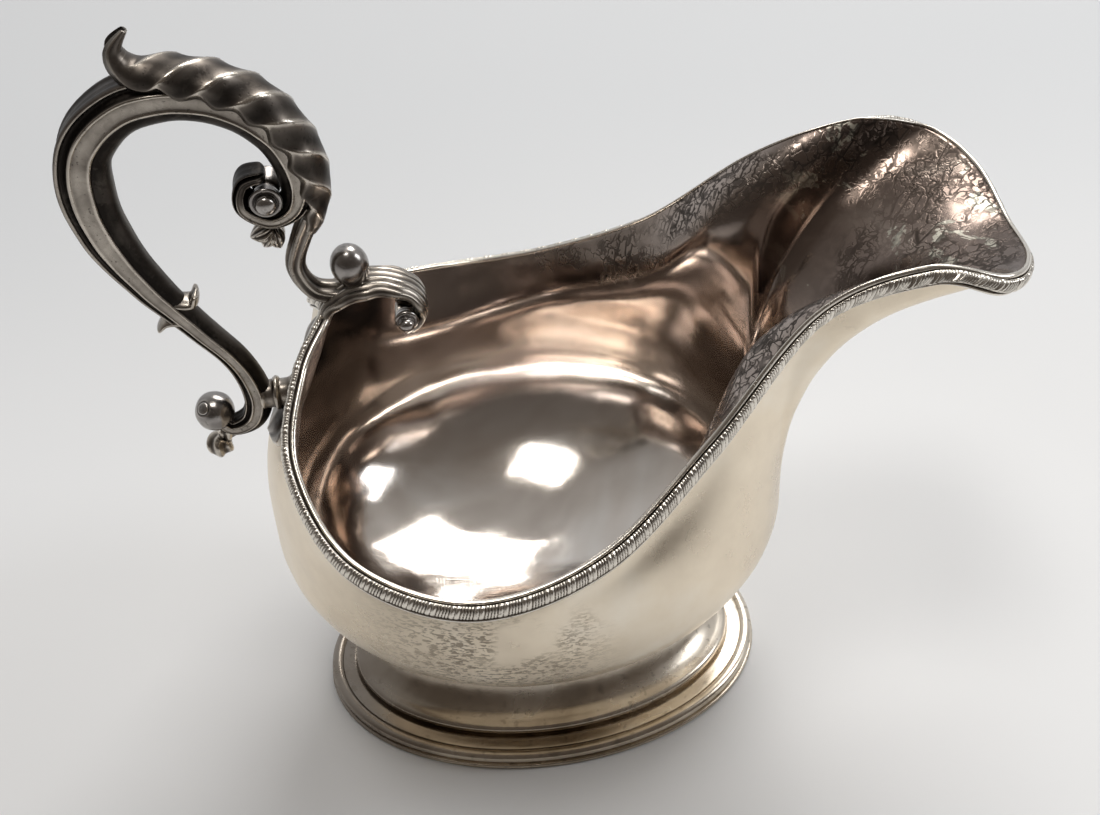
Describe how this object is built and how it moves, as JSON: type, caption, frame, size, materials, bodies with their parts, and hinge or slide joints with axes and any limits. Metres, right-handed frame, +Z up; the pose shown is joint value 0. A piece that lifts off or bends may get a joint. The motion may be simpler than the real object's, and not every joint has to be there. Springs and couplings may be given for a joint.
{
  "type": "sauce boat",
  "caption": "Silver sauce boat: round-bellied bowl with a wavy bordered rim and wide spout, flying scroll handle with a leaf thumb-piece, oval stepped foot.",
  "frame": {"origin": "on the surface the foot stands on, in the middle of the boat's length and width", "axes": "+Z up, +X towards the spout, the handle at -X, the boat symmetric about Y = 0"},
  "size_m": [0.1749, 0.1092, 0.1631],
  "materials": {
    "bowl_silver": "worn polished sterling silver with brownish tarnish",
    "border_silver": "milled silver wire, dark in the recesses",
    "foot_silver": "polished silver, tarnished in the steps",
    "cast_silver": "cast and chased silver, oxidised dark in the recesses",
    "boss_silver": "polished cast silver bosses"
  },
  "bodies": {
    "root": {"bowl": "bowl_silver", "rim_border": "border_silver", "foot_neck": "foot_silver", "foot_flange": "foot_silver", "foot_edge_bead": "foot_silver", "foot_base_ring": "foot_silver", "handle_scroll": "cast_silver", "handle_leaf": "cast_silver", "volute_eyes": "boss_silver", "handle_shell": "cast_silver", "s_arm": "cast_silver", "arm_ball": "boss_silver", "clasp_leaf": "cast_silver", "clasp_finials": "boss_silver", "inner_spur": "cast_silver", "outer_spur": "cast_silver", "terminal_ball": "boss_silver", "terminal_bud": "cast_silver", "lower_strut": "cast_silver", "upper_plate": "cast_silver", "lower_plate": "cast_silver"}
  },
  "joints": []
}
